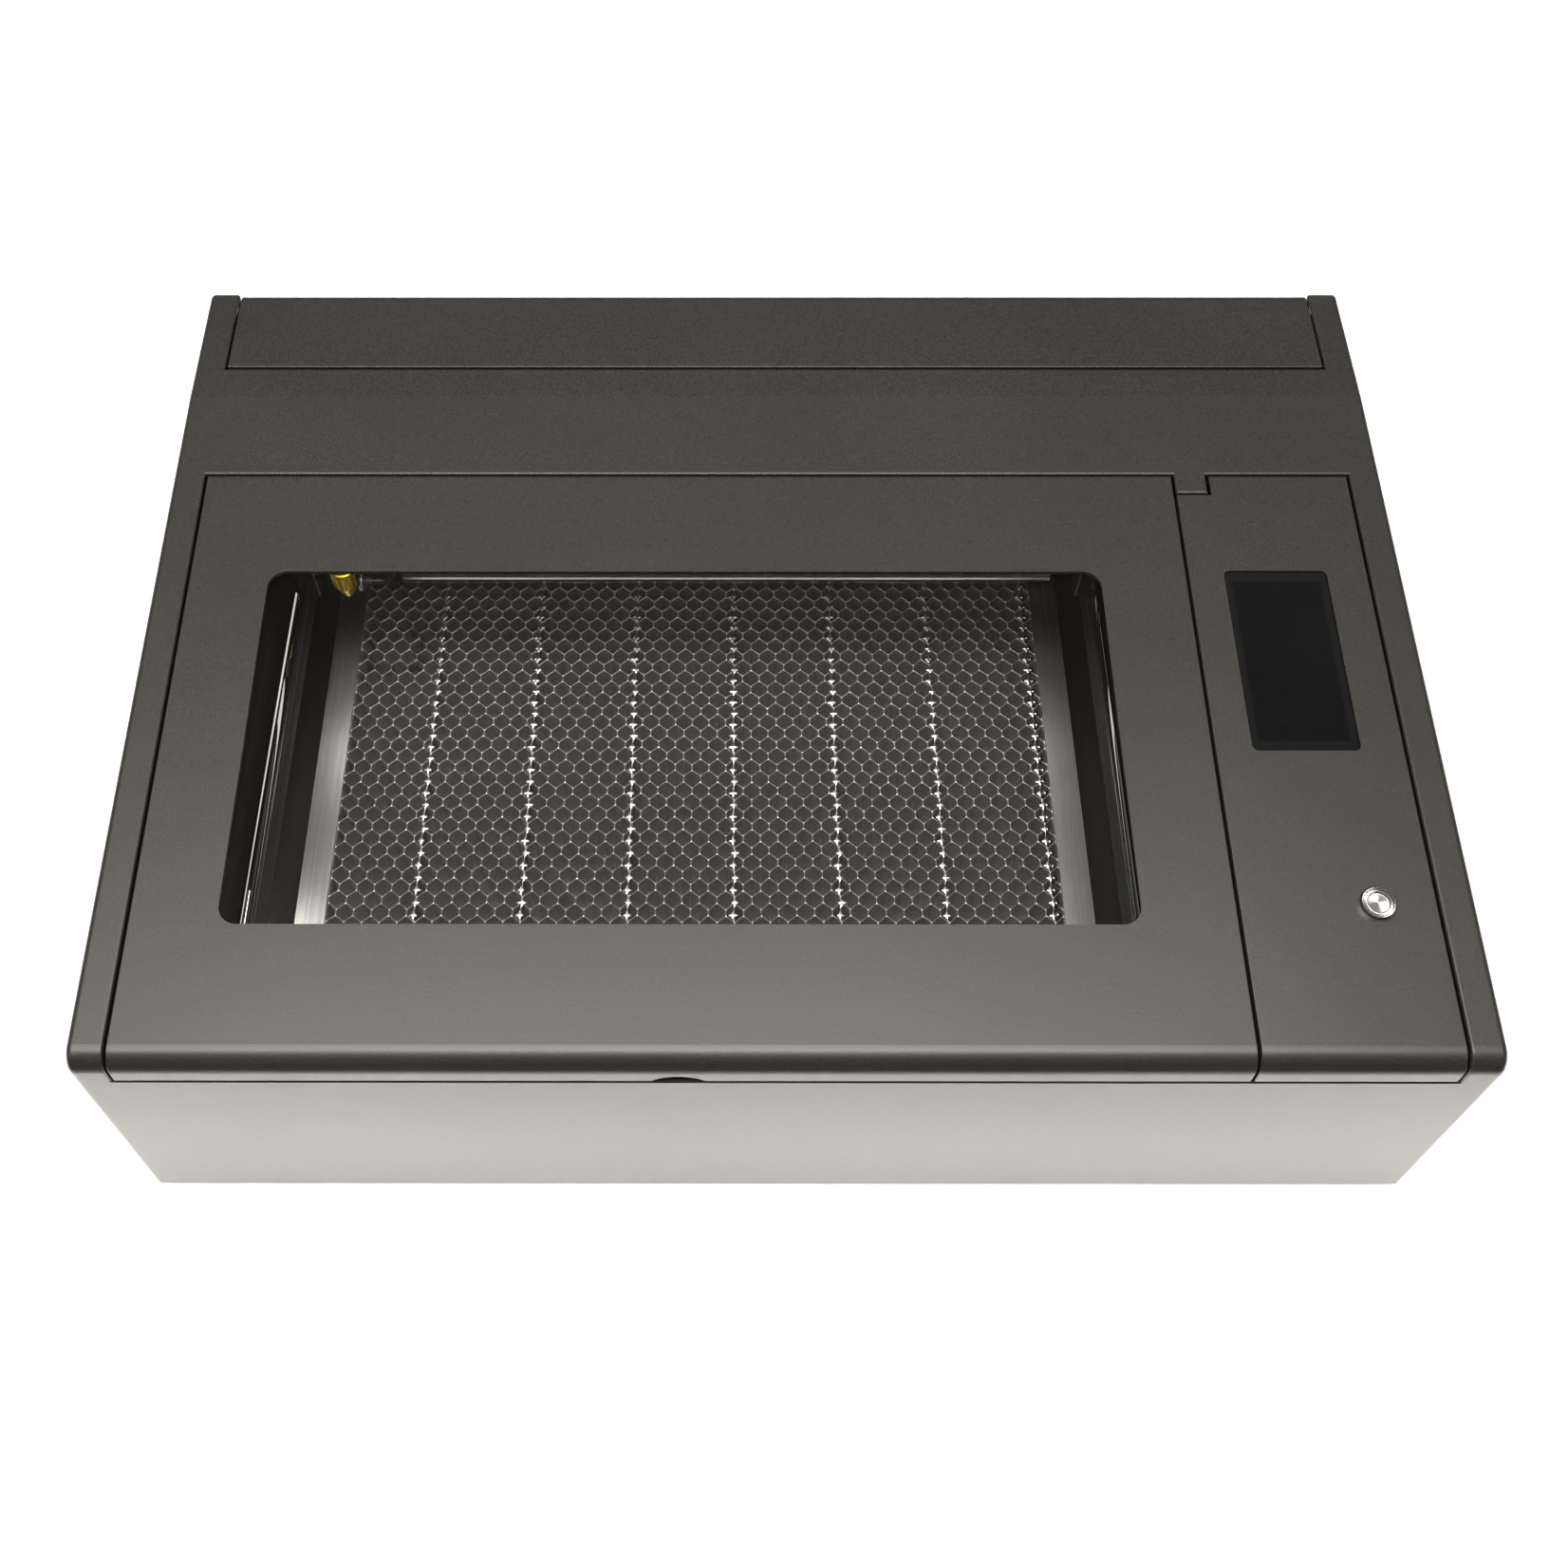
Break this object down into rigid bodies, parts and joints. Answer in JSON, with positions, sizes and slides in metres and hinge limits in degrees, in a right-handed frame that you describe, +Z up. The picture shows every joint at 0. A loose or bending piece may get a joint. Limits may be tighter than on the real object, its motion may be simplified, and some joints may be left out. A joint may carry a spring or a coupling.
{
  "type": "desktop laser cutter",
  "caption": "Desktop CO2 laser cutter: sloping dark case, lid with a tinted window over a honeycomb bed, side console with touch screen and push button, and a belt-driven gantry.",
  "frame": {"origin": "centre of the footprint, on the plane the feet stand on", "axes": "+X to the operator's right, +Y to the rear, +Z up"},
  "size_m": [0.615, 0.445, 0.177],
  "materials": {
    "case_paint": "fine-textured powder coat",
    "inner_paint": "matt black",
    "zinc_steel": "zinc plated",
    "stainless": "radially brushed",
    "polished_rod": "ground and polished",
    "bare_aluminium": "brushed",
    "black_aluminium": "black anodised",
    "honeycomb": "bare foil",
    "brass": "turned",
    "black_rubber": "matt",
    "black_plastic": "moulded",
    "gloss_black": "gloss",
    "tinted_acrylic": "tinted, clear",
    "tube_glass": "clear",
    "lens_glass": "zinc selenide",
    "silicone": "translucent",
    "tank_plastic": "translucent white",
    "circuit_board": "solder mask"
  },
  "bodies": {
    "case": {"side_panels": "case_paint", "end_panels": "case_paint", "top_deck": "case_paint", "base_pan": "case_paint", "rubber_feet": "black_rubber", "case_screws": "zinc_steel", "console_panel": "case_paint", "touch_screen": "gloss_black", "screen_module": "black_plastic", "button_bezel": "stainless", "hinge_brackets": "zinc_steel", "lid_rim": "inner_paint", "chamber_floor": "inner_paint", "chamber_walls": "inner_paint", "rear_partition": "inner_paint", "bed_frame": "bare_aluminium", "bed_plate": "zinc_steel", "honeycomb_core": "honeycomb", "y_rails": "polished_rod", "rail_supports": "black_aluminium", "y_belts": "black_rubber", "y_motor": "black_plastic", "laser_tube": "tube_glass", "tube_saddles": "black_plastic", "fixed_mirror": "black_aluminium", "power_supplies": "zinc_steel", "water_tank": "tank_plastic", "coolant_hoses": "silicone", "exhaust_duct": "black_plastic", "exhaust_fan_frame": "black_plastic", "power_inlet": "black_plastic", "io_ports": "zinc_steel", "main_board": "circuit_board", "air_pump": "black_plastic"},
    "lid": {"lid_frame": "case_paint", "lid_window": "tinted_acrylic", "window_retainer": "inner_paint", "lid_camera": "black_plastic", "lid_bumpers": "black_rubber", "lid_hinge_arms": "inner_paint"},
    "rear_cover": {"rear_cover": "case_paint"},
    "power_button": {"power_button": "stainless"},
    "rocker_switch": {"rocker_switch": "gloss_black"},
    "exhaust_rotor": {"exhaust_fan_rotor": "black_plastic"},
    "gantry": {"y_trucks": "black_aluminium", "x_beam": "bare_aluminium", "x_rail": "polished_rod", "x_motor": "black_plastic", "x_belt": "black_rubber", "gantry_mirror": "black_aluminium"},
    "y_drive_shaft": {"y_drive_shaft": "zinc_steel"},
    "y_idlers": {"y_idlers": "bare_aluminium"},
    "x_drive_pulley": {"x_drive_pulley": "bare_aluminium"},
    "x_idler_pulley": {"x_idler_pulley": "bare_aluminium"},
    "head": {"x_carriage": "black_aluminium", "head_body": "black_aluminium", "air_hose": "black_rubber"},
    "focus_barrel": {"focus_barrel": "brass", "focus_lens": "lens_glass"},
    "focus_knob": {"focus_knob": "stainless"}
  },
  "joints": [
    {"name": "lid_hinge", "type": "hinge", "parent": "case", "child": "lid", "pos_m": [-0.044, 0.125, 0.166], "axis": [-1, 0, 0], "range_deg": [0, 65]},
    {"name": "rear_cover_hinge", "type": "hinge", "parent": "case", "child": "rear_cover", "pos_m": [0, 0.2165, 0.171], "axis": [-1, 0, 0], "range_deg": [0, 90]},
    {"name": "power_button_press", "type": "slide", "parent": "case", "child": "power_button", "axis": [0, 0.0483, -0.9988], "range_m": [0, 0.0015], "stiffness_N_per_m": 1500, "springref_m": -0.0004},
    {"name": "rocker_switch_tilt", "type": "hinge", "parent": "case", "child": "rocker_switch", "pos_m": [0.27, 0.216, 0.062], "axis": [0, 0, 1], "range_deg": [0, 14]},
    {"name": "exhaust_fan_spin", "type": "hinge", "parent": "case", "child": "exhaust_rotor", "pos_m": [-0.185, 0.149, 0.062], "axis": [0, 1, 0], "continuous": true},
    {"name": "gantry_slide", "type": "slide", "parent": "case", "child": "gantry", "axis": [0, -1, 0], "range_m": [0, 0.215]},
    {"name": "y_drive_shaft_spin", "type": "hinge", "parent": "case", "child": "y_drive_shaft", "pos_m": [-0.041, 0.115, 0.074], "axis": [1, 0, 0], "continuous": true},
    {"name": "y_idler_spin", "type": "hinge", "parent": "case", "child": "y_idlers", "pos_m": [-0.041, -0.186, 0.074], "axis": [1, 0, 0], "continuous": true},
    {"name": "head_slide", "type": "slide", "parent": "gantry", "child": "head", "axis": [1, 0, 0], "range_m": [0, 0.33]},
    {"name": "x_drive_spin", "type": "hinge", "parent": "gantry", "child": "x_drive_pulley", "pos_m": [0.1685, 0.088, 0.126], "axis": [0, -1, 0], "continuous": true},
    {"name": "x_idler_spin", "type": "hinge", "parent": "gantry", "child": "x_idler_pulley", "pos_m": [-0.258, 0.088, 0.126], "axis": [0, -1, 0], "continuous": true},
    {"name": "focus_slide", "type": "slide", "parent": "head", "child": "focus_barrel", "axis": [0, 0, -1], "range_m": [0, 0.006]},
    {"name": "focus_knob_turn", "type": "hinge", "parent": "head", "child": "focus_knob", "pos_m": [-0.212, 0.072, 0.1355], "axis": [1, 0, 0], "continuous": true}
  ],
  "couplings": [
    {"joint": "y_drive_shaft_spin", "follows": "gantry_slide", "rad_per_m": 151.51},
    {"joint": "y_idler_spin", "follows": "gantry_slide", "rad_per_m": 151.51},
    {"joint": "x_drive_spin", "follows": "head_slide", "rad_per_m": 151.51},
    {"joint": "x_idler_spin", "follows": "head_slide", "rad_per_m": 151.51}
  ]
}
